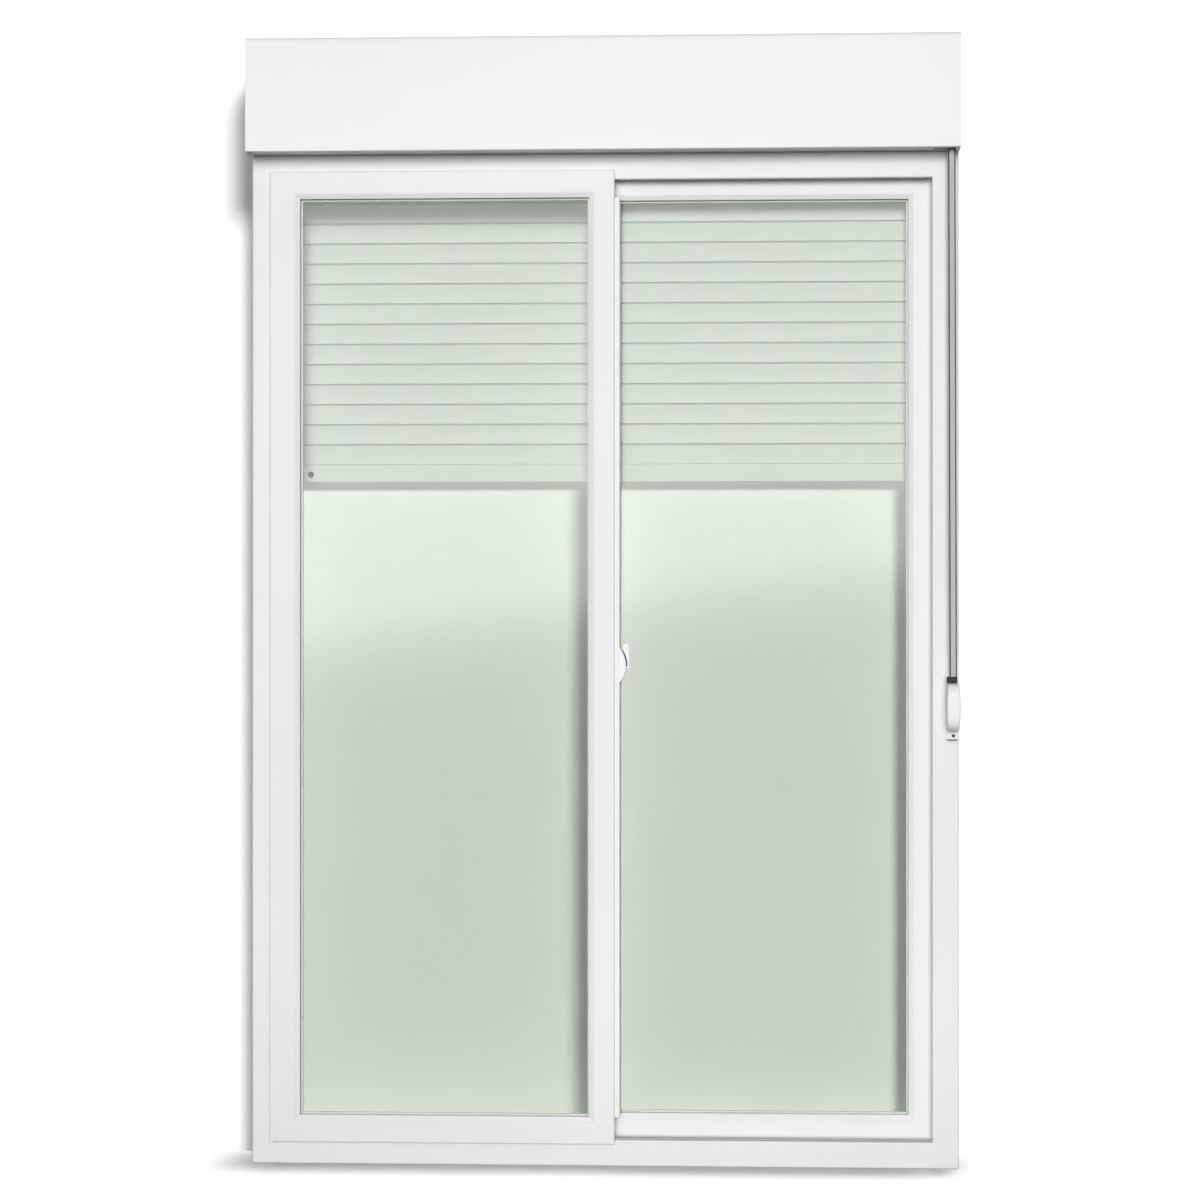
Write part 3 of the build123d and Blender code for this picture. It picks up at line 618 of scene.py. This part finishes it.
def latch_gap_painted_shade(tree, vector):
    """Painted shade on the latch's back plate, above the lever's pin, in the gap that body and lever close
    in.
    """
    place = split_vector(tree, vector)
    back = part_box("latch_body")[1].y
    pin = lever_pin()[2]
    plate = map_range(tree, place["Y"], back - GAP_FRONT_EDGE[0], back - GAP_FRONT_EDGE[1], 0.0, GAP_SHADE)
    ahead = map_range(tree, place["Y"], back - GAP_BACK_EDGE[0], back - GAP_BACK_EDGE[1], 1.0, 0.0)
    upper = map_range(tree, place["Z"], pin, pin + GAP_FADE, 0.0, 1.0)
    shade = math_node(tree, "MULTIPLY", math_node(tree, "MULTIPLY", plate, ahead), upper)
    return math_node(tree, "SUBTRACT", 1.0, shade)


def winder_foot_painted_shadow(tree, vector):
    """Painted shadow line along the foot of the winder's base, where it meets the jamb."""
    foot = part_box("winder_base")[0].z
    height = split_vector(tree, vector)["Z"]
    return map_range(tree, height, foot + FOOT_EDGE[0], foot + FOOT_EDGE[1], FOOT_SHADOW_TONE, 1.0)


def lever_pin():
    """Where the latch lever turns."""
    joint = next(j for j in frame["joints"] if j["name"] == "latch_lever_turn")
    return joint["pos_m"]


def metal(name, colour, roughness, drawn=EVERY_WAY):
    """Drawn or plated metal with streaks along one direction."""
    material, tree, shader = new_material(name)
    streaks = noise(tree, object_coordinates(tree, drawn), METAL_GRAIN, METAL_DETAIL)
    tone = mix_colours(tree, streaks, *tones(colour, METAL_TONES))
    tree.links.new(tone, shader.inputs["Base Color"])
    sheen = [roughness + step for step in METAL_SPREAD]
    tree.links.new(map_range(tree, streaks, *GRAIN_CORE, *sheen), shader.inputs["Roughness"])
    shader.inputs["Metallic"].default_value = 1.0
    add_bump(tree, shader, streaks, METAL_RELIEF, METAL_STRENGTH)
    return material


def soft_rubber(name, colour, roughness=SEAL_ROUGHNESS):
    """Rubber or soft seal with a fine dull grain."""
    material, tree, shader = new_material(name)
    grain = noise(tree, object_coordinates(tree), RUBBER_GRAIN)
    tone = mix_colours(tree, grain, *tones(colour, RUBBER_TONES))
    tree.links.new(tone, shader.inputs["Base Color"])
    sheen = [roughness + step for step in RUBBER_SPREAD]
    tree.links.new(map_range(tree, grain, *GRAIN_CORE, *sheen), shader.inputs["Roughness"])
    add_bump(tree, shader, grain, RUBBER_RELIEF, RUBBER_STRENGTH)
    return material


def pane_glass(name, colour, haze):
    """Tinted pane: each face lets light straight through and mirrors a share of it by its angle.

    The share is four hundredths head-on and rises with the fifth power of the slant, alike on both
    sides of a face. Bounced light passes without the tint, which only what is seen takes.
    """
    material, tree, shader = new_material(name)
    tree.nodes.remove(shader)
    clear = tree.nodes.new("ShaderNodeBsdfTransparent")
    mirror = tree.nodes.new("ShaderNodeBsdfAnisotropic")
    mirror.inputs["Roughness"].default_value = haze
    slant = tree.nodes.new("ShaderNodeLayerWeight")
    rise = math_node(tree, "POWER", slant.outputs["Facing"], MIRROR_POWER)
    share = map_range(tree, rise, 0.0, 1.0, MIRROR_HEAD_ON, 1.0)
    path = tree.nodes.new("ShaderNodeLightPath")
    tint = mix_colours(tree, path.outputs["Is Diffuse Ray"], colour, WHITE)
    tree.links.new(tint, clear.inputs["Color"])
    blend_shaders(tree, share, clear, mirror)
    return material


def woven_strap(name, colours, line, half_width, selvedge, pitch):
    """Woven band along a leaning line: pale checked middle, and dark dotted edges."""
    light, dark = colours
    middle, top, slope = line
    material, tree, shader = new_material(name)
    vector = object_coordinates(tree, EVERY_WAY, (middle, 0, top))
    place = split_vector(tree, vector)
    side = math_node(tree, "MULTIPLY_ADD", place["Z"], slope, place["X"])
    across = math_node(tree, "ABSOLUTE", side)
    edges = [half_width - selvedge + step for step in SELVEDGE_SOFTNESS]
    edge = map_range(tree, across, *edges, 0, 1, True)
    turns = math_node(tree, "MULTIPLY", place["Z"], 2 * math.pi / pitch)
    weft = math_node(tree, "MULTIPLY", side, 2 * math.pi / (WEFT_SHARE * pitch))
    check = math_node(tree, "MULTIPLY", math_node(tree, "SINE", turns), math_node(tree, "SINE", weft))
    yarn = mix_colours(tree, map_range(tree, check, *YARN_CORE, 0, 1), *tones(light, YARN_TONES))
    half_turns = math_node(tree, "MULTIPLY", place["Z"], math.pi / pitch)
    dots = map_range(tree, math_node(tree, "SINE", half_turns), *DOT_CORE, 0, DOT_SHARE, True)
    border = mix_colours(tree, dots, dark, shaded(light, DOT_TONE))
    tree.links.new(mix_colours(tree, edge, yarn, border), shader.inputs["Base Color"])
    fibres = noise(tree, vector, FIBRE_GRAIN)
    roughness = map_range(tree, fibres, *GRAIN_CORE, *FIBRE_ROUGHNESS)
    tree.links.new(roughness, shader.inputs["Roughness"])
    add_bump(tree, shader, fibres, FIBRE_RELIEF, FIBRE_STRENGTH)
    shader.inputs["Sheen Weight"].default_value = FIBRE_SHEEN
    return material


def paint(nodes, material):
    """Gives CAD nodes a material in all their slots."""
    for name in nodes:
        mesh = frame["nodes"][name].data
        mesh.materials.clear()
        mesh.materials.append(material)


def grid_mesh(name, points):
    """Mesh of quads over an array of points in rows and columns, each row joined end to end."""
    rows, columns = points.shape[:2]
    index = np.arange(rows * columns).reshape(rows, columns)
    index = np.hstack([index, index[:, :1]])
    corners = (index[:-1, :-1], index[1:, :-1], index[1:, 1:], index[:-1, 1:])
    quads = np.stack(corners, axis=-1).reshape(-1, 4)
    mesh = bpy.data.meshes.new(name)
    mesh.vertices.add(rows * columns)
    mesh.vertices.foreach_set("co", points.astype(np.float32).ravel())
    mesh.loops.add(quads.size)
    mesh.loops.foreach_set("vertex_index", quads.astype(np.int32).ravel())
    mesh.polygons.add(len(quads))
    mesh.polygons.foreach_set("loop_start", np.arange(0, quads.size, 4, dtype=np.int32))
    mesh.polygons.foreach_set("use_smooth", np.ones(len(quads), dtype=bool))
    mesh.update(calc_edges=True)
    mesh.validate()
    return mesh


def place_piece(name, mesh, material, body):
    """Links a finished mesh as a piece that rides on a body."""
    mesh.materials.append(material)
    piece = bpy.data.objects.new(name, mesh)
    bpy.context.scene.collection.objects.link(piece)
    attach(piece, body)
    return piece


def screw_head(name, centre, radius, height, recess=True):
    """Round screw head that looks towards -Y, over a polar grid.

    Height over the seat is a flattened dome, height times (1 - (r / radius)^4)^0.5, less a
    cross-shaped recess whose walls are smooth steps across each arm. The last ring of
    points lies in the seat, and the middle is one point repeated.
    """
    turn = np.linspace(0, 2 * np.pi, SCREW_TURNS, endpoint=False)
    reach = np.concatenate([np.linspace(0, CROWN_REACH, SCREW_RINGS), RIM_REACHES])
    share, angle = np.meshgrid(reach, turn, indexing="ij")
    across = share * np.cos(angle)
    up = share * np.sin(angle)
    dome = height * np.sqrt(np.clip(1 - share**DOME_POWER, 0, 1))
    if recess:
        arm = np.minimum(np.abs(across), np.abs(up))
        wall = np.clip((ARM_HALF - arm) / ARM_WALL, 0, 1)
        end = np.clip((ARM_REACH - share) / ARM_END, 0, 1)
        dome = dome - RECESS_DEPTH * height * wall * wall * (3 - 2 * wall) * end
    dome[-1] = 0.0
    points = np.stack(
        [centre[0] + radius * across, centre[1] - dome, centre[2] + radius * up], axis=-1
    )
    return grid_mesh(name, points)


class DOOR_OT_pvc(bpy.types.Operator):
    """White PVC on the frame, the sashes and the shutter box"""

    bl_idname = "door.pvc"
    bl_label = "PVC members"

    def execute(self, context):
        look = finish()
        paint(UPRIGHTS, plastic("pvc_upright", look.pvc, PVC_GRAIN, drawn=ALONG_Z))
        paint(LEVELS, plastic("pvc_level", look.pvc, PVC_GRAIN, drawn=ALONG_X))
        paint(BEADS, plastic("pvc_bead", look.pvc, BEAD_GRAIN, EVEN_SHEEN))
        paint(BOX_PANELS, plastic("pvc_box", look.box_pvc, PVC_GRAIN, drawn=ALONG_X))
        return {"FINISHED"}


class DOOR_OT_glazing(bpy.types.Operator):
    """Panes, seals and spacers of both sashes"""

    bl_idname = "door.glazing"
    bl_label = "Glazing"

    def execute(self, context):
        look = finish()
        paint(PANES, pane_glass("pane_glass", look.glass_face, look.glass_haze))
        for name in PANES:
            frame["nodes"][name].visible_shadow = False
        paint(("front_gaskets", "rear_gaskets"), soft_rubber("glazing_seal", look.gasket))
        bars = plastic("spacer_bar", look.spacer, SPACER_GRAIN, SPACER_SHEEN)
        paint(("front_spacer", "rear_spacer"), bars)
        return {"FINISHED"}


class DOOR_OT_shutter(bpy.types.Operator):
    """Slats, stops and axle of the roller shutter"""

    bl_idname = "door.shutter"
    bl_label = "Roller shutter"

    def execute(self, context):
        look = finish()
        slats = plastic("slat_pvc", look.slat, SLAT_GRAIN, SLAT_SHEEN, ALONG_X, slat_painted_shade)
        paint(("shutter_slats",), slats)
        end_slat = plastic("end_slat_pvc", look.slat, SLAT_GRAIN, SLAT_SHEEN, ALONG_X)
        paint(("shutter_end_slat",), end_slat)
        paint(("shutter_stops",), soft_rubber("stop_rubber", look.rubber))
        paint(("shutter_axle",), metal("axle_steel", look.steel, AXLE_ROUGHNESS, AXLE_DRAWN))
        return {"FINISHED"}


class DOOR_OT_running_gear(bpy.types.Operator):
    """Running rails and rollers"""

    bl_idname = "door.running_gear"
    bl_label = "Running gear"

    def execute(self, context):
        look = finish()
        paint(("track_rails",), metal("rail_aluminium", look.aluminium, RAIL_ROUGHNESS, ALONG_X))
        paint(("front_rollers", "rear_rollers"), soft_rubber("roller_nylon", look.nylon, ROLLER_ROUGHNESS))
        return {"FINISHED"}


class DOOR_OT_fittings(bpy.types.Operator):
    """Latch and strap winder"""

    bl_idname = "door.fittings"
    bl_label = "Latch and winder"

    def execute(self, context):
        look = finish()
        # the latch body carries painted shade in the gap behind the lever
        body = plastic("latch_body_plastic", look.fitting, FITTING_GRAIN, LATCH_SHEEN, shade_bands=latch_gap_painted_shade)
        paint(("latch_body",), body)
        lever = plastic("latch_plastic", look.fitting, FITTING_GRAIN, LATCH_SHEEN)
        paint(("latch_lever",), lever)
        # the winder carries a painted shadow line along its foot
        winder = plastic("winder_plastic", look.fitting, FITTING_GRAIN, EVEN_SHEEN, shade_bands=winder_foot_painted_shadow)
        paint(("winder_base", "winder_case"), winder)
        paint(("winder_inlet", "strap_guide"), soft_rubber("inlet_plastic", look.dark, INLET_ROUGHNESS))
        return {"FINISHED"}


class DOOR_OT_strap(bpy.types.Operator):
    """Woven lift strap in place of its plain solid"""

    bl_idname = "door.strap"
    bl_label = "Lift strap"

    def execute(self, context):
        look = finish()
        size = fittings()
        low, high = (np.array(corner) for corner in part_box("lift_strap"))
        middle = (low + high) / 2
        half = (high - low) / 2
        slope = size.strap_lean / (high[2] - low[2])
        points = self.band(middle, half, low[2], high[2], slope, size.weave_pitch, size.weave_relief)
        mesh = grid_mesh("woven_strap", points)
        cloth = woven_strap(
            "strap_weave", (look.strap_light, look.strap_dark), (middle[0], high[2], slope), half[0],
            size.selvedge, size.weave_pitch,
        )
        piece = place_piece("woven_strap", mesh, cloth, "frame")
        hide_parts("lift_strap")
        return {"FINISHED"}

    @staticmethod
    def band(middle, half, bottom, top, slope, pitch, relief):
        """Flat loop carried up the strap, with closed ends.

        The loop's middle leans right by slope times the depth below the strap's top.
        The loop is a super-ellipse: its width goes with a power of the cosine of its turn,
        and its thickness with a lower power of the sine. Its faces rise and fall by relief
        times sin(height) times cos(width), so that the ribs alternate as in a plain weave.
        The first and last rows shrink to a line.
        """
        rows = int((top - bottom) / (pitch / ROWS_PER_WEAVE))
        up = np.linspace(bottom, top, rows)
        turn = np.linspace(0, 2 * np.pi, STRAP_POINTS, endpoint=False)
        height, angle = np.meshgrid(up, turn, indexing="ij")
        across = np.sign(np.cos(angle)) * np.abs(np.cos(angle)) ** WIDTH_POWER
        through = np.sign(np.sin(angle)) * np.abs(np.sin(angle)) ** THICKNESS_POWER
        weave = np.sin(2 * np.pi * height / pitch) * np.cos(RIBS_ACROSS * np.pi * across)
        thick = (half[1] - relief) + relief * weave
        end = np.ones_like(height)
        end[0] = 0.0
        end[-1] = 0.0
        side = middle[0] + slope * (top - height) + half[0] * across
        depth = middle[1] + thick * through * end
        return np.stack([side, depth, height], axis=-1)


class DOOR_OT_screws(bpy.types.Operator):
    """Screws of the winder and the shutter stops, and the latch pin"""

    bl_idname = "door.screws"
    bl_label = "Screws and pin"

    def execute(self, context):
        look = finish()
        size = fittings()
        plated = metal("screw_plating", look.screw, SCREW_ROUGHNESS)
        base_low, base_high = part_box("winder_base")
        middle = (base_low.x + base_high.x) / 2 + size.screw_shift
        winder_screws = {
            "winder_screw_low": base_low.z + WINDER_SCREW_INSET,
            "winder_screw_high": base_high.z - WINDER_SCREW_INSET,
        }
        for name, height in winder_screws.items():
            seat = (middle, base_low.y, height)
            mesh = screw_head(name, seat, size.screw_radius, WINDER_SCREW_HEIGHT)
            place_piece(name, mesh, plated, "frame")
        stop_low, stop_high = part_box("shutter_stops")
        level = (stop_low.z + stop_high.z) / 2
        inset = (stop_high.z - stop_low.z) / 2
        stop_screws = {"stop_screw_left": stop_low.x + inset, "stop_screw_right": stop_high.x - inset}
        for name, across in stop_screws.items():
            seat = (across, stop_low.y, level)
            mesh = screw_head(name, seat, size.stop_screw_radius, STOP_SCREW_HEIGHT)
            place_piece(name, mesh, plated, "frame")
        across, _, level = lever_pin()
        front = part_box("latch_body")[0].y
        pin = screw_head("latch_pin", (across, front, level), size.pin_radius, PIN_HEIGHT, False)
        place_piece("latch_pin", pin, plated, "front_sash")
        return {"FINISHED"}


class DOOR_OT_stage(bpy.types.Operator):
    """Floor, wall, lamps and camera"""

    bl_idname = "door.stage"
    bl_label = "Studio"

    def execute(self, context):
        values = studio()
        scene = context.scene
        scene.view_settings.view_transform = "Standard"
        self.sky(scene, values.sky)
        floor = self.floor()
        wall = self.wall(CAD_BOX[1][1] + values.wall_gap)
        curtain = [frame["nodes"][name] for name in CURTAIN]
        self.share(self.sun("key", values), [wall, floor, *curtain], "EXCLUDE")
        door_lamps = (
            self.lamp("ceiling_lamp", CEILING_PLACE, CEILING_TARGET, CEILING_SIZE, values.ceiling_power),
            self.lamp("low_lamp", LOW_PLACE, LOW_TARGET, LOW_SIZE, values.low_power),
            self.lamp("back_lamp", BACK_PLACE, BACK_TARGET, BACK_SIZE, values.back_power),
            self.glow(values.glow_power),
        )
        for lamp in door_lamps:
            self.share(lamp, [wall, floor], "EXCLUDE")
        for name, things in (("curtain", curtain), ("wall", [wall]), ("floor", [floor])):
            self.share(self.sun(name, values), things, "INCLUDE")
        self.camera(scene, values)
        return {"FINISHED"}

    @staticmethod
    def camera(scene, values):
        """The camera that stands where the photo was taken from."""
        camera = bpy.data.cameras.new("photo_camera")
        camera.sensor_width = SENSOR_WIDTH
        camera.lens = values.camera_lens
        camera.clip_end = FAR_CLIP
        eye = bpy.data.objects.new("photo_camera", camera)
        eye.location = values.camera_place
        eye.rotation_euler = (LEVEL_TURN + values.camera_tilt, 0, values.camera_turn)
        scene.collection.objects.link(eye)
        scene.camera = eye

    @staticmethod
    def sky(scene, strength):
        """Faint light from above the horizon, seen as white by the camera and through glass."""
        world = bpy.data.worlds.new("studio_sky")
        world.use_nodes = True
        tree = world.node_tree
        tree.nodes.clear()
        output = tree.nodes.new("ShaderNodeOutputWorld")
        light = tree.nodes.new("ShaderNodeBackground")
        light.inputs["Color"].default_value = WHITE
        seen, path = seen_directly(tree)
        mirrored = math_node(tree, "MULTIPLY", path["Is Glossy Ray"], SKY_MIRRORED)
        place = tree.nodes.new("ShaderNodeTexCoord")
        height = split_vector(tree, place.outputs["Generated"])["Z"]
        above = map_range(tree, height, 0.0, SKY_FADE, 0.0, strength, True)
        shown = math_node(tree, "MAXIMUM", seen, mirrored)
        tree.links.new(math_node(tree, "MAXIMUM", shown, above), light.inputs["Strength"])
        tree.links.new(light.outputs["Background"], output.inputs["Surface"])
        scene.world = world

    @staticmethod
    def sheet(name, corners, material):
        """A flat stage sheet through four corners."""
        mesh = bpy.data.meshes.new(name)
        mesh.from_pydata(corners, [], [(0, 1, 2, 3)])
        mesh.materials.append(material)
        sheet = bpy.data.objects.new(name, mesh)
        bpy.context.scene.collection.objects.link(sheet)
        return sheet

    @staticmethod
    def paper(name, lift, one_sided):
        """Matt white paper that takes shadows, lifted a little where it is seen directly."""
        material, tree, shader = new_material(name)
        shader.inputs["Base Color"].default_value = PAPER_WHITE
        shader.inputs["Roughness"].default_value = PAPER_ROUGHNESS
        shader.inputs["Specular IOR Level"].default_value = PAPER_SHINE
        seen, _ = seen_directly(tree)
        shader.inputs["Emission Color"].default_value = WHITE
        tree.links.new(math_node(tree, "MULTIPLY", seen, lift), shader.inputs["Emission Strength"])
        if one_sided:
            facing = tree.nodes.new("ShaderNodeNewGeometry")
            clear = tree.nodes.new("ShaderNodeBsdfTransparent")
            blend_shaders(tree, facing.outputs["Backfacing"], shader, clear)
        return material

    def floor(self):
        """Pale floor under the door."""
        side = STAGE_HALF
        corners = [(-side, -side, 0), (side, -side, 0), (side, side, 0), (-side, side, 0)]
        floor = self.sheet("studio_floor", corners, self.paper("floor_paper", FLOOR_LIFT, False))
        floor.visible_glossy = False
        floor.visible_diffuse = False
        return floor

    def wall(self, back):
        """White sheet close behind the door, which is seen from the front only."""
        side = STAGE_HALF
        corners = [(-side, back, 0), (side, back, 0), (side, back, WALL_TOP), (-side, back, WALL_TOP)]
        wall = self.sheet("studio_wall", corners, self.paper("wall_paper", WALL_LIFT, True))
        wall.visible_shadow = False
        wall.visible_diffuse = False
        return wall

    @staticmethod
    def lamp(name, place, target, size, power, roll=0.0, mirrored=False):
        """A soft rectangular lamp that looks at a point."""
        light = bpy.data.lights.new(name, "AREA")
        light.shape = "RECTANGLE"
        light.size, light.size_y = size
        light.energy = power
        lamp = bpy.data.objects.new(name, light)
        lamp.location = place
        direction = np.array(target, float) - np.array(place, float)
        turn = math.atan2(-direction[0], direction[1])
        tilt = math.atan2(direction[2], math.hypot(direction[0], direction[1]))
        lamp.rotation_euler = (LEVEL_TURN + tilt, roll, turn)
        bpy.context.scene.collection.objects.link(lamp)
        lamp.visible_glossy = mirrored
        lamp.visible_camera = False
        return lamp

    @staticmethod
    def sun(name, values):
        """A soft light from far away, by the four values that start with its name."""
        light = bpy.data.lights.new(name + "_light", "SUN")
        light.energy = getattr(values, name + "_strength")
        light.angle = getattr(values, name + "_width")
        lamp = bpy.data.objects.new(name + "_light", light)
        height = getattr(values, name + "_height")
        lamp.rotation_euler = (LEVEL_TURN - height, 0, getattr(values, name + "_side"))
        lamp.visible_glossy = False
        bpy.context.scene.collection.objects.link(lamp)
        return lamp

    @staticmethod
    def share(light, things, state):
        """Lets a light fall on these things alone, or on all but these."""
        receivers = bpy.data.collections.new(light.name + "_receivers")
        for thing in things:
            receivers.objects.link(thing)
        for link in receivers.collection_objects:
            link.light_linking.link_state = state
        light.light_linking.receiver_collection = receivers

    def glow(self, power):
        """A tall panel behind the camera, a little askew, which the panes mirror in their upper half."""
        return self.lamp("glow_panel", GLOW_PLACE, GLOW_TARGET, GLOW_SIZE, power, GLOW_ROLL, True)


class DOOR_PT_panel(bpy.types.Panel):
    """Sidebar panel of the door"""

    bl_label = "Sliding door"
    bl_idname = "DOOR_PT_panel"
    bl_space_type = "VIEW_3D"
    bl_region_type = "UI"
    bl_category = "Door"

    def draw(self, context):
        for operator in OPERATORS:
            self.layout.operator(operator.bl_idname)
        for group in (finish(), fittings(), studio()):
            for name in group.__annotations__:
                self.layout.prop(group, name)


GROUPS = (("door_finish", DoorFinish), ("door_fittings", DoorFittings), ("door_studio", DoorStudio))
OPERATORS = (
    DOOR_OT_pvc,
    DOOR_OT_glazing,
    DOOR_OT_shutter,
    DOOR_OT_running_gear,
    DOOR_OT_fittings,
    DOOR_OT_strap,
    DOOR_OT_screws,
    DOOR_OT_stage,
)


def register():
    """Adds the groups, operators and panel."""
    for name, group in GROUPS:
        bpy.utils.register_class(group)
        setattr(bpy.types.Scene, name, bpy.props.PointerProperty(type=group))
    for item in (*OPERATORS, DOOR_PT_panel):
        bpy.utils.register_class(item)


def unregister():
    """Takes the groups, operators and panel out again."""
    for item in (DOOR_PT_panel, *reversed(OPERATORS)):
        bpy.utils.unregister_class(item)
    for name, group in GROUPS:
        delattr(bpy.types.Scene, name)
        bpy.utils.unregister_class(group)


def main():
    """Runs every operator in order."""
    register()
    bpy.ops.door.pvc()
    bpy.ops.door.glazing()
    bpy.ops.door.shutter()
    bpy.ops.door.running_gear()
    bpy.ops.door.fittings()
    bpy.ops.door.strap()
    bpy.ops.door.screws()
    bpy.ops.door.stage()


if __name__ == "__main__":
    main()
